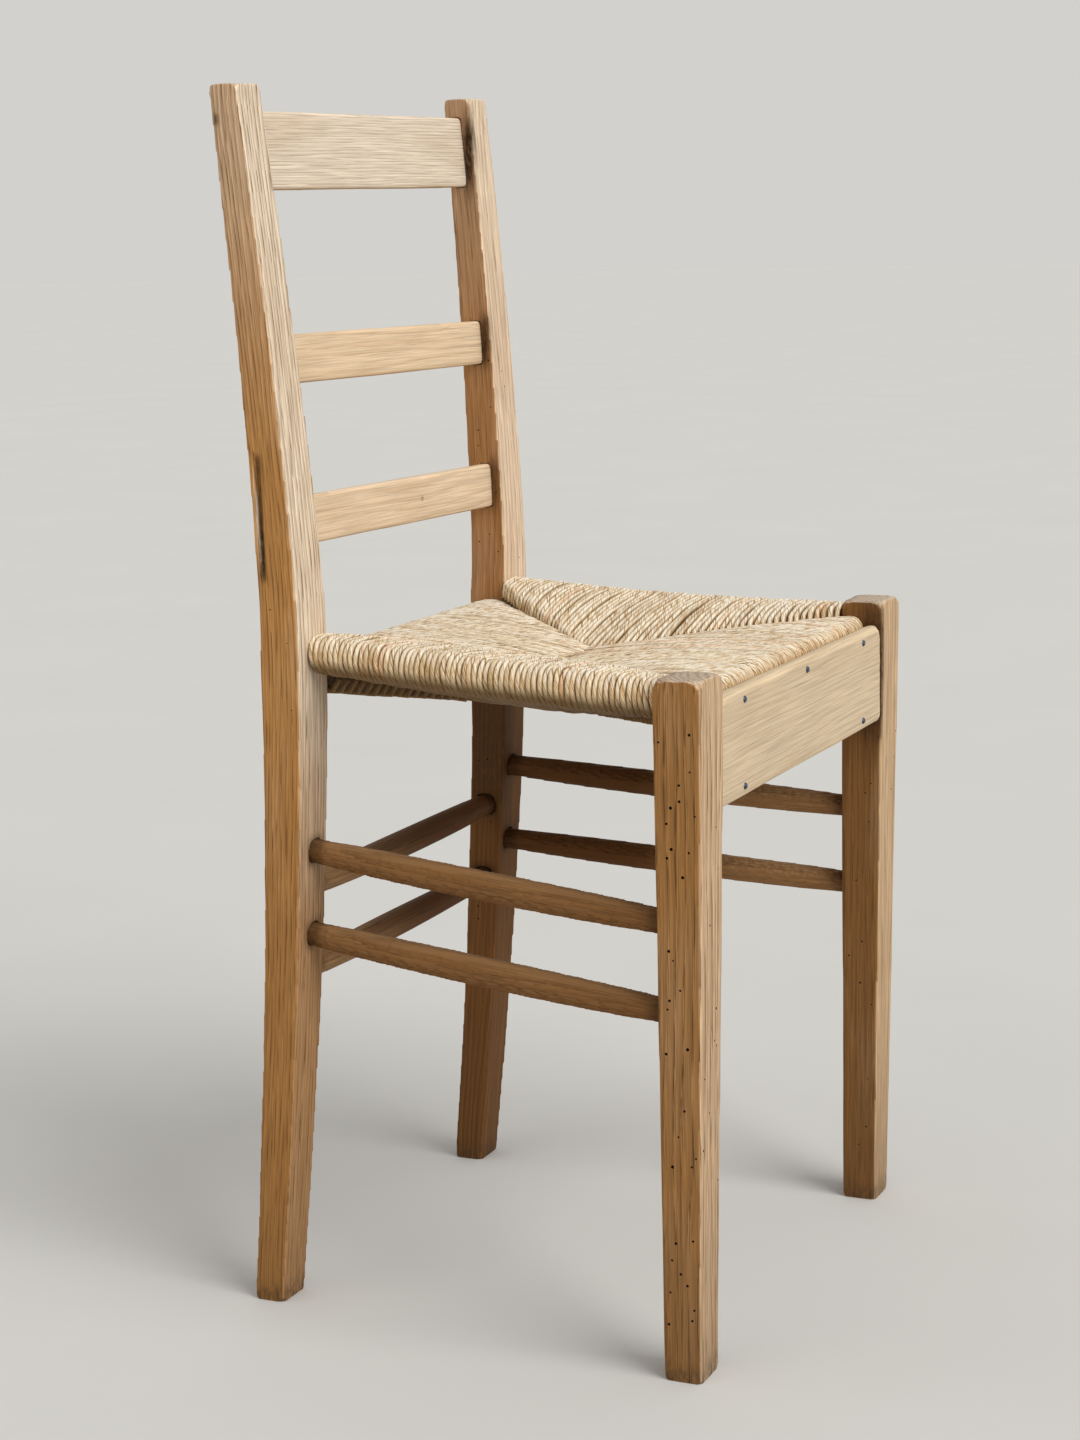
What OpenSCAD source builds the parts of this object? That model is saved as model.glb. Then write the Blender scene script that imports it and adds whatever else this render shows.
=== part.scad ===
// Rush-seat ladder-back chair: two bent back posts, two front legs, three slats,
// seat rails wrapped in woven rush, a nailed apron board and round stretchers.
// The front of the chair faces -Y, +Z is up, and the origin lies on the floor
// at the centre of the chair's bounding box. All sizes are in millimetres.

/* [Overall] */
// Height from the floor to the tops of the back posts
chair_h = 880; // [740:10:1060]
// Depth from the front of the legs to the back of the rear feet
chair_d = 372; // [320:2:450]
// Width across the two front legs at seat height
front_w = 438; // [370:2:530]
// Width across the two back posts at seat height
back_w = 386; // [320:2:470]
// Height of the woven seat where it rolls over the front rail
seat_h = 476; // [400:2:560]

/* [Back posts] */
// Width of a back post at seat height
post_w = 43.5; // [36:0.5:54]
// Width of a back post at the floor
post_foot_w = 33; // [28:0.5:44]
// Width of a back post at its top
post_top_w = 32.5; // [28:0.5:44]
// Thickness of a back post, front to back, at seat height
post_t = 31.5; // [27:0.5:40]
// Thickness of a back post at the floor
post_foot_t = 24; // [20:0.5:34]
// Thickness of a back post at its top
post_top_t = 22.5; // [20:0.5:32]
// Height at which a back post stands furthest forward
bend_h = 510; // [460:5:600]
// How far the foot of a back post reaches behind the bend
foot_splay = 37; // [10:1:60]
// How far the top of a back post leans back behind the bend
top_rake = 30; // [10:1:60]
// How much further out a back post stands at its top than at the floor
post_lean = 12; // [0:1:24]

/* [Front legs] */
// Width of a front leg at seat height
leg_w = 44.5; // [38:0.5:54]
// Width of a front leg at the floor
leg_foot_w = 34; // [28:0.5:46]
// Thickness of a front leg, front to back, at seat height
leg_t = 34.5; // [30:0.5:42]
// Thickness of a front leg at the floor
leg_foot_t = 27; // [22:0.5:36]
// Height of the rounded leg tops above the front of the seat
leg_rise = 11; // [6:1:24]
// How much further out a leg stands at its top than at the floor
leg_lean = 7; // [0:1:20]
// How much further forward a leg stands at its top than at the floor
leg_pitch = 7.5; // [0:0.5:16]
// Radius of the worn leg tops
leg_top_r = 10; // [4:1:14]

/* [Slats] */
// Height of the top rail
top_rail_h = 55; // [40:1:70]
// Height of the middle slat
middle_slat_h = 35; // [26:1:48]
// Height of the lower slat
lower_slat_h = 35; // [26:1:48]
// Thickness of the rail and the slats
slat_t = 10; // [7:0.5:13]
// Distance of the slat faces behind the fronts of the posts
slat_set_back = 9.5; // [6:0.5:12]
// Length of each slat tenon inside a post
slat_tenon = 18; // [12:1:22]
// How far the left end of the top rail hangs lower than its right end, in degrees
top_rail_tilt = -0.45; // [-1:0.05:1]
// How far the left end of the middle slat hangs lower than its right end, in degrees
middle_slat_tilt = 0.6; // [-1:0.05:1]
// How far the left end of the lower slat hangs lower than its right end, in degrees
lower_slat_tilt = 0.7; // [-1:0.05:1]
// Distance from the post tops down to the top rail
top_rail_drop = 16; // [8:1:30]

/* [Seat] */
// Diameter of the round seat rails at their middle
rail_d = 20; // [17:0.5:25]
// Diameter of the round seat rails inside the posts
rail_end_d = 14; // [12:0.5:17]
// Thickness of the front seat rail
front_rail_t = 16; // [13:0.5:19]
// Height of the front seat rail
front_rail_h = 22; // [18:0.5:27]
// Diameter of the rush cord wound over the rails
cord_d = 4; // [3:0.5:6]
// Rise of the side rails from front to back
side_rail_rise = 14; // [0:1:24]
// Height of the side rolls above the front roll at the front legs
side_step = 8; // [6:1:16]
// Depth of the hollow in the middle of the seat, below the front roll
seat_dip = 10; // [0:1:20]
// Thickness of the seat in the middle, where the woven fields meet
seat_mid_t = 36; // [28:1:44]
// Length of the bridge where the four woven fields meet
bridge_l = 70; // [20:2:90]
// Distance of the side rail axes from the outer faces of the posts
rail_inset = 25; // [20:0.5:28]

/* [Apron] */
// Height of the apron board
apron_h = 77; // [60:1:94]
// Thickness of the apron board
apron_t = 13; // [10:0.5:16]
// Distance of the apron face behind the fronts of the legs
apron_set_back = 2; // [0:0.5:5]
// Height of the front of the seat above the apron's top edge
apron_drop = 6; // [3:1:12]
// Gap between each end of the apron and its leg
apron_gap = 0.7; // [0.4:0.1:1.2]
// Distance of the outer nails from the middle of the apron
nail_spread = 131; // [90:1:150]
// Distance of the nails from the top and bottom edges of the apron
nail_edge = 8.5; // [7:0.5:14]
// Diameter of a nail's shank
nail_d = 2.2; // [1.6:0.1:3]
// Diameter of a nail's head
nail_head_d = 5; // [4:0.5:8]
// Length of a nail under its head
nail_l = 27; // [22:1:30]

/* [Stretchers] */
// Diameter of a stretcher at its middle
rung_d = 21; // [18:0.5:25]
// Diameter of a stretcher where it enters a post
rung_end_d = 17; // [13:0.5:18]
// Length of a stretcher's end inside a post
rung_tenon = 17; // [10:1:19]
// Height of the upper side stretchers at the back posts
rung_h = 341; // [280:1:380]
// Height between one stretcher and the next, side and back in turn
rung_step = 31; // [26:0.5:36]
// Fall of the side stretchers from the back posts to the front legs
rung_fall = 21.5; // [0:0.5:30]
// Distance of the side stretcher axes from the outer faces of the back posts
rung_inset_back = 23; // [16:0.5:26]
// Distance of the side stretcher axes from the outer faces of the legs
rung_inset_front = 19; // [15:0.5:24]

/* [Fits] */
// Radial clearance of a round end in its bore
bore_fit = 0.15; // [0.05:0.05:0.3]
// Clearance of a flat tenon in its mortise, on each side
tenon_fit = 0.25; // [0.1:0.05:0.5]
// Space left beyond the end of each tenon
end_gap = 1; // [0.5:0.5:2]
// Space between the rush and the wood it covers
rush_fit = 0.3; // [0.2:0.05:0.6]

/* [Hidden] */

RIGHT = -1;
LEFT = 1;
FOOT_CURVE = 1.6;
RAKE_CURVE = 1.35;
OUTLINE_STEPS = 22;
ROUND_STEPS = 6;
FN_ROUND = 48;
FN_HULL = 32;
PALE = "#d9bf98";
TAN = "#c59c68";
BROWN = "#a9733f";
STRAW = "#dcc48d";
IRON = "#2f3440";

// Wall kept between two bores that pass above one another inside a post
bore_wall = 3;
// Radius of the worn edges on post tops, slats, front rail and apron
post_top_r = 5;
slat_edge_r = 2.5;
front_rail_r = 6;
apron_edge_r = 5;
apron_corner_r = 12;
// Chamfer around the feet
foot_chamfer = 2.5;
// Front rail's tenon, low on the rail and flush with its face: thickness and length
front_tenon_t = 10;
front_tenon_l = 15;
// Length of the round rail ends inside the posts and legs
side_rail_tenon = 19;
back_rail_tenon = 15;
// Length of a stretcher's end before it starts to swell
rung_straight = 3;
// Thickness of a nail's head
nail_head_t = 1.2;
// Extra reach of a cut or a wrap beyond a face
over = 4;

leg_h = seat_h + leg_rise;
roll_r = rail_d / 2 + cord_d;

// Back post: distances from the chair's middle at height z
function bend_y() = chair_d / 2 - post_foot_t - foot_splay;
function post_front(z) = bend_y() + (z < bend_h
    ? foot_splay * pow(1 - z / bend_h, FOOT_CURVE)
    : top_rake * pow((z - bend_h) / (chair_h - bend_h), RAKE_CURVE));
function post_thick(z) = lookup(z, [[0, post_foot_t], [seat_h, post_t], [chair_h, post_top_t]]);
function post_back(z) = post_front(z) + post_thick(z);
function post_outer(z) = back_w / 2 + post_lean * (z - seat_h) / chair_h;
function post_wide(z) = lookup(z, [[0, post_foot_w], [seat_h, post_w], [chair_h, post_top_w]]);
function post_inner(z) = post_outer(z) - post_wide(z);
function post_rake(z) = atan((post_front(z + 5) - post_front(z - 5)) / 10);

// Front leg: distances from the chair's middle at height z
function leg_front(z) = -chair_d / 2 + leg_pitch * (1 - z / (leg_h - leg_top_r));
function leg_thick(z) = leg_foot_t + (leg_t - leg_foot_t) * z / seat_h;
function leg_back(z) = leg_front(z) + leg_thick(z);
function leg_outer(z) = front_w / 2 + leg_lean * (z - seat_h) / leg_h;
function leg_wide(z) = leg_foot_w + (leg_w - leg_foot_w) * z / seat_h;
function leg_inner(z) = leg_outer(z) - leg_wide(z);

// Heights of the slats: the free height above the seat is shared between the gaps
gap_shares = [0.31, 0.3, 0.39];
free_h = chair_h - top_rail_drop - top_rail_h - middle_slat_h - lower_slat_h - seat_h;
lower_slat_z = seat_h + free_h * gap_shares[0] + lower_slat_h / 2;
middle_slat_z = lower_slat_z + (lower_slat_h + middle_slat_h) / 2 + free_h * gap_shares[1];
top_rail_z = chair_h - top_rail_drop - top_rail_h / 2;

// Apron, front rail and the rung behind the apron's lower edge
apron_top = seat_h - apron_drop;
apron_bottom = apron_top - apron_h;
apron_face = leg_front(apron_top) + apron_set_back;
apron_back = apron_face + apron_t;
front_roll_t = front_rail_t + 2 * cord_d;
front_roll_h = front_rail_h + 2 * cord_d;
front_rail_y = apron_back + rush_fit + front_roll_t / 2;
front_rail_z = seat_h - front_roll_h / 2;
nail_rows = [apron_top - nail_edge, apron_bottom + nail_edge];
front_rung_y = apron_back + bore_fit + rung_d / 2;

// Round seat rails: the side rails pass over the front and back rails in the posts
side_rail_front_z = seat_h + side_step - roll_r;
side_rail_back_z = side_rail_front_z + side_rail_rise;
back_rail_z = side_rail_back_z - rail_end_d - bore_wall;
back_rail_y = (post_front(back_rail_z) + post_back(back_rail_z)) / 2;
front_tenon_top = side_rail_front_z - rail_end_d / 2 - bore_wall;
front_tenon_h = front_tenon_top - (front_rail_z - front_rail_h / 2);
mid_z = seat_h - seat_dip - seat_mid_t / 2;

function side_rail_back(side) = [side * (post_outer(side_rail_back_z) - rail_inset),
    post_front(side_rail_back_z), side_rail_back_z];
function side_rail_front(side) = [side * (leg_outer(side_rail_front_z) - rail_inset),
    leg_back(side_rail_front_z), side_rail_front_z];
function back_rail_end(side) = [side * post_inner(back_rail_z), back_rail_y, back_rail_z];

// Stretcher ends, where each axis meets the face of its post or leg
upper_z = rung_h;
lower_z = rung_h - 2 * rung_step;
back_rungs_z = [rung_h - rung_step, rung_h - 3 * rung_step];
function side_rung_back(side, z) = [side * (post_outer(z) - rung_inset_back), post_front(z), z];
function side_rung_front(side, z) = let (f = z - rung_fall)
    [side * (leg_outer(f) - rung_inset_front), leg_back(f), f];
function back_rung_end(side, z) = [side * post_inner(z), (post_front(z) + post_back(z)) / 2, z];
function front_rung_end(side) = [side * leg_inner(nail_rows[1]), front_rung_y, nail_rows[1]];

function unit(v) = v / norm(v);
function beyond(a, b, l) = b + l * unit(b - a);
function arc(c, r, a0, a1) = [for (i = [0 : ROUND_STEPS])
    c + r * [cos(a0 + (a1 - a0) * i / ROUND_STEPS), sin(a0 + (a1 - a0) * i / ROUND_STEPS)]];
function rounded_box(w, h, r) = concat(
    arc([w / 2 - r, h / 2 - r], r, 0, 90), arc([r - w / 2, h / 2 - r], r, 90, 180),
    arc([r - w / 2, r - h / 2], r, 180, 270), arc([w / 2 - r, r - h / 2], r, 270, 360));

// Places its child's +Z axis along the line from a to b, starting at a
module along(a, b) {
    d = b - a;
    translate(a)
        rotate([0, acos(d[2] / norm(d)), atan2(d[1], d[0])])
            children();
}

// Extrudes a side view, drawn as [y, z], across the chair from x0 to x1
module side_view(x0, x1) {
    translate([x0, 0, 0])
        rotate([90, 0, 90])
            linear_extrude(x1 - x0)
                children();
}

// Extrudes a front view, drawn as [x, z], from y0 back to y1
module front_view(y0, y1) {
    translate([0, y1, 0])
        rotate([90, 0, 0])
            linear_extrude(y1 - y0)
                children();
}

// Whittled rod between two faces, with a straight round end beyond each
module rod(a, b, mid_d, end_d, tenon, grow = 0) {
    l = norm(b - a);
    swell = l - 2 * rung_straight;
    profile = concat([[0, -tenon], [end_d / 2 + grow, -tenon]],
        [for (i = [0 : 12]) [end_d / 2 + grow + (mid_d - end_d) / 2 * pow(sin(15 * i), 0.6),
            rung_straight + swell * i / 12]],
        [[end_d / 2 + grow, l + tenon], [0, l + tenon]]);
    along(a, b)
        rotate_extrude($fn = FN_ROUND)
            polygon(profile);
}

// Blind bore that takes the end of a rod which comes from a and enters at b
module bore(a, b, end_d, tenon) {
    along(beyond(b, b - unit(b - a), over), beyond(a, b, tenon + end_gap))
        cylinder(r = end_d / 2 + bore_fit, h = tenon + end_gap + over + 1, $fn = FN_ROUND);
}

// Board with worn edges that spans the back, leaning with the posts' rake
module slat(z, h, tilt, tenon, grow = 0) {
    reach = post_inner(z) + tenon;
    translate([0, post_front(z) + slat_set_back + slat_t / 2, z])
        rotate([-post_rake(z), 0, 0])
            rotate([0, tilt, 0])
                side_view(-reach, reach)
                    polygon(rounded_box(slat_t + 2 * grow, h + 2 * grow, slat_edge_r + grow));
}

module top_slat(tenon, grow) { slat(top_rail_z, top_rail_h, top_rail_tilt, tenon, grow); }
module mid_slat(tenon, grow) { slat(middle_slat_z, middle_slat_h, middle_slat_tilt, tenon, grow); }
module low_slat(tenon, grow) { slat(lower_slat_z, lower_slat_h, lower_slat_tilt, tenon, grow); }

// Bent back post without its joints, thickened by grow on every side
module post_body(side, grow = 0) {
    zs = [for (i = [0 : OUTLINE_STEPS]) foot_chamfer
        + (chair_h - post_top_r - foot_chamfer) * i / OUTLINE_STEPS];
    top = chair_h - post_top_r;
    sides = concat(
        [[post_front(0) + foot_chamfer - grow, 0]],
        [for (z = zs) [post_front(z) - grow, z]],
        arc([post_front(top) + post_top_r, top], post_top_r + grow, 180, 90),
        arc([post_back(top) - post_top_r, top], post_top_r + grow, 90, 0),
        [for (i = [OUTLINE_STEPS : -1 : 0]) [post_back(zs[i]) + grow, zs[i]]],
        [[post_back(0) - foot_chamfer + grow, 0]]);
    fronts = concat(
        [[post_outer(0) - foot_chamfer + grow, 0], [post_outer(0) + grow, foot_chamfer]],
        arc([post_outer(top) - post_top_r, top], post_top_r + grow, 0, 90),
        arc([post_inner(top) + post_top_r, top], post_top_r + grow, 90, 180),
        [[post_inner(seat_h) - grow, seat_h], [post_inner(0) - grow, foot_chamfer],
         [post_inner(0) + foot_chamfer - grow, 0]]);
    intersection() {
        side_view(-front_w, front_w)
            polygon(sides);
        front_view(-chair_d, chair_d)
            polygon([for (p = fronts) [side * p[0], p[1]]]);
    }
}

module back_post(side) {
    difference() {
        post_body(side);
        top_slat(slat_tenon + end_gap, tenon_fit);
        mid_slat(slat_tenon + end_gap, tenon_fit);
        low_slat(slat_tenon + end_gap, tenon_fit);
        bore(side_rail_front(side), side_rail_back(side), rail_end_d, side_rail_tenon);
        bore(back_rail_end(-side), back_rail_end(side), rail_end_d, back_rail_tenon);
        for (z = [upper_z, lower_z])
            bore(side_rung_front(side, z), side_rung_back(side, z), rung_end_d, rung_tenon);
        for (z = back_rungs_z)
            bore(back_rung_end(-side, z), back_rung_end(side, z), rung_end_d, rung_tenon);
    }
}

// Tapered front leg without its joints, thickened by grow on every side
module leg_body(side, grow = 0) {
    top = leg_h - leg_top_r;
    sides = concat(
        [[leg_front(0) + foot_chamfer - grow, 0], [leg_front(0) - grow, foot_chamfer]],
        arc([leg_front(top) + leg_top_r, top], leg_top_r + grow, 180, 90),
        arc([leg_back(top) - leg_top_r, top], leg_top_r + grow, 90, 0),
        [[leg_back(0) + grow, foot_chamfer], [leg_back(0) - foot_chamfer + grow, 0]]);
    fronts = concat(
        [[leg_outer(0) - foot_chamfer + grow, 0], [leg_outer(0) + grow, foot_chamfer]],
        arc([leg_outer(top) - leg_top_r, top], leg_top_r + grow, 0, 90),
        arc([leg_inner(top) + leg_top_r, top], leg_top_r + grow, 90, 180),
        [[leg_inner(0) - grow, foot_chamfer], [leg_inner(0) + foot_chamfer - grow, 0]]);
    intersection() {
        side_view(-front_w, front_w)
            polygon(sides);
        front_view(-chair_d, chair_d)
            polygon([for (p = fronts) [side * p[0], p[1]]]);
    }
}

module front_leg(side) {
    difference() {
        leg_body(side);
        bore(side_rail_back(side), side_rail_front(side), rail_end_d, side_rail_tenon);
        for (z = [upper_z, lower_z])
            bore(side_rung_back(side, z), side_rung_front(side, z), rung_end_d, rung_tenon);
        bore(front_rung_end(-side), front_rung_end(side), rung_end_d, rung_tenon);
        front_rail_tenons(front_tenon_l + end_gap, tenon_fit);
    }
}

// One bar that fills both tenons of the front rail, with its ends l inside the legs
module front_rail_tenons(l, grow) {
    reach = leg_inner(front_rail_z) + l;
    translate([-reach, front_rail_y - front_rail_t / 2 - grow, front_tenon_top - front_tenon_h - grow])
        cube([2 * reach, front_tenon_t + 2 * grow, front_tenon_h + 2 * grow]);
}

// Front rail's rounded section, drawn out to half its length on either side
module front_rail_bar(half, t, h, r) {
    translate([0, front_rail_y, front_rail_z])
        side_view(-half, half)
            polygon(rounded_box(t, h, r));
}

module front_seat_rail() {
    reach = leg_inner(front_rail_z) + front_tenon_l;
    shoulder = leg_inner(front_rail_z + front_rail_h / 2) - tenon_fit;
    color(TAN)
        difference() {
            intersection() {
                front_rail_bar(reach, front_rail_t, front_rail_h, front_rail_r);
                union() {
                    front_rail_bar(shoulder, front_rail_t, front_rail_h, front_rail_r);
                    front_rail_tenons(front_tenon_l, 0);
                }
            }
            nail_holes(bore_fit / 2);
        }
}

module back_seat_rail(grow = 0) {
    color(TAN)
        rod(back_rail_end(RIGHT), back_rail_end(LEFT), rail_d, rail_end_d, back_rail_tenon, grow);
}

module side_seat_rail(side, grow = 0) {
    color(TAN)
        rod(side_rail_back(side), side_rail_front(side), rail_d, rail_end_d, side_rail_tenon, grow);
}

// Roll of cord around a round rail, run a little way into the posts
module roll(a, b) {
    start = beyond(b, a, over);
    along(start, b)
        cylinder(r = roll_r, h = norm(b - a) + 2 * over, $fn = FN_HULL);
}

// Four woven fields that run from the wrapped rails down to the bridge between them
module rush_fields() {
    for (side = [RIGHT, LEFT])
        hull() {
            roll(side_rail_back(side), side_rail_front(side));
            translate([side * bridge_l / 2, 0, mid_z])
                sphere(d = seat_mid_t, $fn = FN_HULL);
        }
    hull() {
        roll(back_rail_end(RIGHT), back_rail_end(LEFT));
        bridge();
    }
    hull() {
        front_rail_bar(leg_inner(front_rail_z) + over, front_roll_t, front_roll_h, front_rail_r + cord_d);
        bridge();
    }
}

module bridge() {
    translate([-bridge_l / 2, 0, mid_z])
        rotate([0, 90, 0])
            cylinder(d = seat_mid_t, h = bridge_l, $fn = FN_HULL);
}

module rush_seat() {
    color(STRAW)
        difference() {
            rush_fields();
            for (side = [RIGHT, LEFT]) {
                post_body(side, rush_fit);
                leg_body(side, rush_fit);
                side_seat_rail(side, rush_fit);
            }
            back_seat_rail(rush_fit);
            front_rail_bar(leg_inner(front_rail_z) + over, front_rail_t + 2 * rush_fit,
                front_rail_h + 2 * rush_fit, front_rail_r + rush_fit);
            nail_holes(rush_fit);
        }
}

module front_apron() {
    low = leg_inner(apron_bottom) - apron_gap;
    high = leg_inner(apron_top) - apron_gap;
    color(PALE)
        difference() {
            intersection() {
                front_view(apron_face, apron_back)
                    polygon(concat([[-low, apron_bottom], [low, apron_bottom]],
                        arc([high - apron_corner_r, apron_top - apron_corner_r], apron_corner_r, 0, 90),
                        arc([apron_corner_r - high, apron_top - apron_corner_r], apron_corner_r, 90, 180)));
                translate([0, (apron_face + apron_back) / 2, (apron_top + apron_bottom) / 2])
                    side_view(-front_w / 2, front_w / 2)
                        polygon(rounded_box(apron_t, apron_h, apron_edge_r));
            }
            nail_holes(bore_fit / 2);
        }
}

// Places its children at the five nails, with +Z pointing into the board
module at_nails() {
    for (x = [-nail_spread, 0, nail_spread])
        translate([x, apron_face, nail_rows[0]])
            rotate([-90, 0, 0])
                children();
    for (x = [-nail_spread, nail_spread])
        translate([x, apron_face, nail_rows[1]])
            rotate([-90, 0, 0])
                children();
}

module nail_holes(grow) {
    at_nails()
        translate([0, 0, -over])
            cylinder(r = nail_d / 2 + grow, h = nail_l + end_gap + over, $fn = 24);
}

module apron_nails() {
    color(IRON)
        at_nails() {
            cylinder(d = nail_d, h = nail_l, $fn = 24);
            translate([0, 0, -nail_head_t])
                cylinder(d1 = nail_head_d * 0.7, d2 = nail_head_d, h = nail_head_t, $fn = 24);
        }
}

module front_stretcher() {
    color(BROWN)
        difference() {
            rod(front_rung_end(RIGHT), front_rung_end(LEFT), rung_d, rung_end_d, rung_tenon);
            nail_holes(bore_fit / 2);
        }
}

module side_stretcher(side, z) {
    color(BROWN)
        rod(side_rung_back(side, z), side_rung_front(side, z), rung_d, rung_end_d, rung_tenon);
}

module back_stretcher(z) {
    color(BROWN)
        rod(back_rung_end(RIGHT, z), back_rung_end(LEFT, z), rung_d, rung_end_d, rung_tenon);
}

module right_back_post() { color(TAN) back_post(RIGHT); }
module left_back_post() { color(TAN) back_post(LEFT); }
module right_front_leg() { color(TAN) front_leg(RIGHT); }
module left_front_leg() { color(TAN) front_leg(LEFT); }
module top_rail() { color(PALE) top_slat(slat_tenon, 0); }
module middle_slat() { color(PALE) mid_slat(slat_tenon, 0); }
module lower_slat() { color(PALE) low_slat(slat_tenon, 0); }
module right_seat_rail() { side_seat_rail(RIGHT); }
module left_seat_rail() { side_seat_rail(LEFT); }
module right_upper_stretcher() { side_stretcher(RIGHT, upper_z); }
module right_lower_stretcher() { side_stretcher(RIGHT, lower_z); }
module left_upper_stretcher() { side_stretcher(LEFT, upper_z); }
module left_lower_stretcher() { side_stretcher(LEFT, lower_z); }
module back_upper_stretcher() { back_stretcher(back_rungs_z[0]); }
module back_lower_stretcher() { back_stretcher(back_rungs_z[1]); }

right_back_post();
left_back_post();
right_front_leg();
left_front_leg();
top_rail();
middle_slat();
lower_slat();
front_seat_rail();
back_seat_rail();
right_seat_rail();
left_seat_rail();
rush_seat();
front_apron();
apron_nails();
front_stretcher();
right_upper_stretcher();
right_lower_stretcher();
left_upper_stretcher();
left_lower_stretcher();
back_upper_stretcher();
back_lower_stretcher();
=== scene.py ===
import math
import random

import bmesh
import bpy
import numpy as np
from mathutils import Matrix, Vector, noise
from mathutils.bvhtree import BVHTree


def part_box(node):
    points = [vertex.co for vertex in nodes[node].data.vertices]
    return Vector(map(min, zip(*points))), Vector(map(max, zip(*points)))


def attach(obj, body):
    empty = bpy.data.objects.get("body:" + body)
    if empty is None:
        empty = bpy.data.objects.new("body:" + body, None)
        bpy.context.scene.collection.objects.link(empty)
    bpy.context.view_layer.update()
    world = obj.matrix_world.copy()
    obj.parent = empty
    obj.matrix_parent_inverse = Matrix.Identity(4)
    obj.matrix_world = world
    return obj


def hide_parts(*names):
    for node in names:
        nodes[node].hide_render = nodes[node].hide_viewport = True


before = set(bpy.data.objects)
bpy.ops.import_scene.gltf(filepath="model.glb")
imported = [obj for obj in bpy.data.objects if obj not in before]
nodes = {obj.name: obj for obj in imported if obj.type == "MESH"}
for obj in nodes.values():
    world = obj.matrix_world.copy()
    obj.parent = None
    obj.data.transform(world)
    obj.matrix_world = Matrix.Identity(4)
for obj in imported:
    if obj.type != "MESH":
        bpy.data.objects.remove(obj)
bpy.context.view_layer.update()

# Rush-seat ladder-back chair. Metres, floor at z = 0, the chair faces -Y,
# and its own right-hand side is -X.
scene = bpy.context.scene
MM = 0.001
X, Y, Z = 0, 1, 2

SIDES = {"right": -1, "left": 1}
FRONT_SIDE, BACK_SIDE = -1, 1

RUNG_TENON = 17 * MM
SLAT_TENON = 18 * MM
RUNG_SAG = 1.0 * MM

BOARDS = ("top_rail", "middle_slat", "lower_slat")
RUNGS = {"right_upper": Y, "right_lower": Y, "left_upper": Y, "left_lower": Y,
         "front": X, "back_upper": X, "back_lower": X}  # and the axis that each runs along
SEAT_RAILS = ("front_seat_rail", "back_seat_rail", "right_seat_rail", "left_seat_rail")

# Rush cord and the four woven fields
CORD_R = 2.1 * MM
CORD_PITCH = 4.15 * MM
ROLL_R = 14 * MM
FRONT_ROLL = (12 * MM, 15 * MM, 10 * MM)  # half thickness, half height, corner radius
BRIDGE_HALF = 35 * MM
SEAT_MID_TOP = 466 * MM
SEAT_MID_LOW = 430 * MM
FIELD_CROWN = 4 * MM
CORD_SIDES = 8
TOP_COUNT, LOW_COUNT = 9, 8  # points of a cord over and under the seat
CORD_TWIST = 30 * MM  # length along the cord of one full twist
CORD_SLANT = 2.2 * MM  # how far a side cord leans along its rail, from top to bottom
CORD_WANDER = 0.9 * MM
CORD_UNEVEN = 0.6 * MM
MITRE_TAIL = 6 * MM  # how far a cord's hidden ends run past the mitre line
UNDER_SAG = 2.5 * MM
FULL_RUN = 80 * MM  # a field this long or longer crowns and sags in full
ROLL_DROOP = {"right": 1 * MM, "left": 3 * MM}  # sag of each side roll at the middle of its rail
SEAT_SEED = 11


# ---------------------------------------------------------------- camera and light

CAMERA_PLACE = (-1.886676, -0.829664, 0.784854)
CAMERA_YAW = 65.550  # degrees, clockwise from +Y
CAMERA_PITCH = 10.172  # degrees downwards
CAMERA_ROLL = -1.2014
CAMERA_LENS = 69.867  # millimetres, for the sensor below
CAMERA_SENSOR = 36
FLOOR_RADIUS = 40


def make_camera():
    data = bpy.data.cameras.new("camera")
    data.lens = CAMERA_LENS
    data.sensor_width = CAMERA_SENSOR
    camera = bpy.data.objects.new("camera", data)
    scene.collection.objects.link(camera)
    yaw, pitch, roll = (math.radians(a) for a in (CAMERA_YAW, CAMERA_PITCH, CAMERA_ROLL))
    turn = (Matrix.Rotation(-yaw, 4, "Z") @ Matrix.Rotation(math.pi / 2 - pitch, 4, "X")
            @ Matrix.Rotation(roll, 4, "Z"))
    camera.matrix_world = Matrix.Translation(CAMERA_PLACE) @ turn
    scene.camera = camera


def soft_sun(name, place, strength, angle, colour):
    """Even light from a direction, as from a very large far panel."""
    data = bpy.data.lights.new(name, "SUN")
    data.angle = math.radians(angle)
    data.energy = strength
    data.color = colour
    lamp = bpy.data.objects.new(name, data)
    scene.collection.objects.link(lamp)
    lamp.matrix_world = (-Vector(place)).to_track_quat("-Z", "Y").to_matrix().to_4x4()


def make_world(light, backdrop):
    """Lights the scene evenly, and shows a plain backdrop colour behind it."""
    world = bpy.data.worlds.new("studio")
    scene.world = world
    world.use_nodes = True
    tree = world.node_tree
    path = add(tree, "ShaderNodeLightPath")
    seen = calc(tree, "MAXIMUM", path.outputs["Is Camera Ray"], path.outputs["Is Glossy Ray"])
    seen = calc(tree, "MAXIMUM", seen, path.outputs["Is Transmission Ray"])
    colour = mix(tree, seen, light, backdrop)
    tree.links.new(colour, tree.nodes["Background"].inputs["Color"])


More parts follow.
